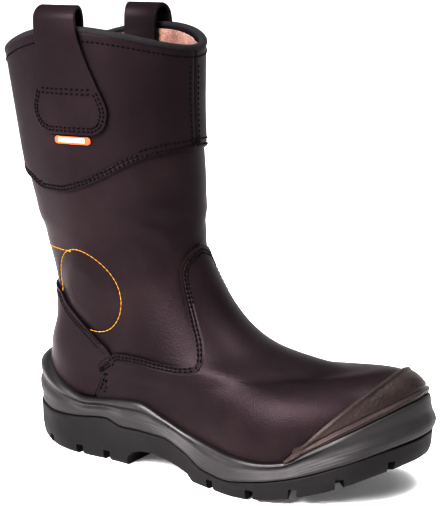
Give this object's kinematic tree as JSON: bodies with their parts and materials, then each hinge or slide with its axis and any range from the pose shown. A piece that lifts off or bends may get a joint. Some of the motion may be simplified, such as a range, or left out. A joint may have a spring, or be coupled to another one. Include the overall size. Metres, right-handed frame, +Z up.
{
  "type": "insulated pull-on work boot",
  "caption": "Tall pull-on insulated work boot for the right foot: hollow leather upper with cuff, pull loops and toe cap on a moulded sole with heel, arch and side lugs",
  "frame": {"origin": "on the floor, under the middle of the bounding box", "axes": "+X towards the toe, +Y towards the inner side of the foot, +Z up"},
  "size_m": [0.3314, 0.1334, 0.3268],
  "materials": {
    "black_rubber": "matte",
    "black_moulded_foam": "satin",
    "insole_board": "matte",
    "brown_leather": "oiled",
    "coated_cap": "coated grain",
    "cuff_leather": "soft grain",
    "binding_tape": "woven",
    "orange_label": "woven, plain"
  },
  "bodies": {
    "root": {"outsole": "black_rubber", "midsole": "black_moulded_foam", "insole": "insole_board", "upper": "brown_leather", "toe_cap": "coated_cap", "vamp": "brown_leather", "heel_counter": "brown_leather", "cuff": "cuff_leather", "collar_binding": "binding_tape", "pull_loop_outer": "brown_leather", "pull_loop_inner": "brown_leather", "label_tab": "orange_label"}
  },
  "joints": []
}
